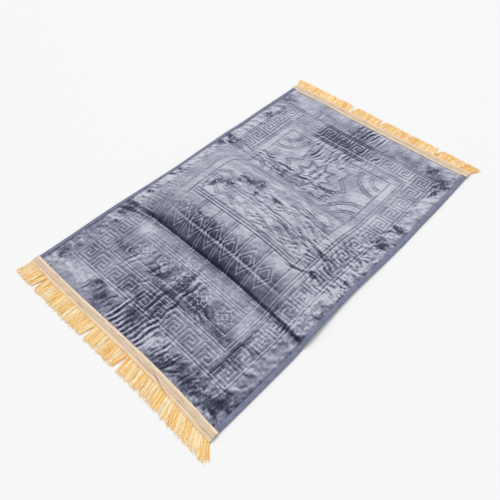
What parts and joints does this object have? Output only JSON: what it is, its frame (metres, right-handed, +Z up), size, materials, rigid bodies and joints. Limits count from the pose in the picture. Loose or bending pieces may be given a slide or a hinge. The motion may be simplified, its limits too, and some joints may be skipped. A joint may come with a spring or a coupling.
{
  "type": "prayer rug",
  "caption": "Rectangular pressed-velvet prayer rug lying on the floor with a raised cross fold, bound long edges, and woven tapes with loose fringe across its ends.",
  "frame": {"origin": "middle of the base of the rug's bounding box, on the floor that the rug lies on", "axes": "+X across the rug, +Y along it from the end nearest the viewer to the far end, +Z up"},
  "size_m": [0.7504, 1.2202, 0.0601],
  "materials": {
    "velvet": "short crushed pile with pressed lines, blue grey, light or dark by the lie of the nap",
    "binding": "plain woven strip, dull slate blue",
    "tape": "ribbed woven tape, pale gold",
    "fringe": "loose silky yarn, golden yellow"
  },
  "bodies": {
    "root": {"pile_cloth": "velvet", "binding_left": "binding", "binding_right": "binding", "tape_near": "tape", "tape_far": "tape", "fringe_near": "fringe", "fringe_far": "fringe"}
  },
  "joints": []
}
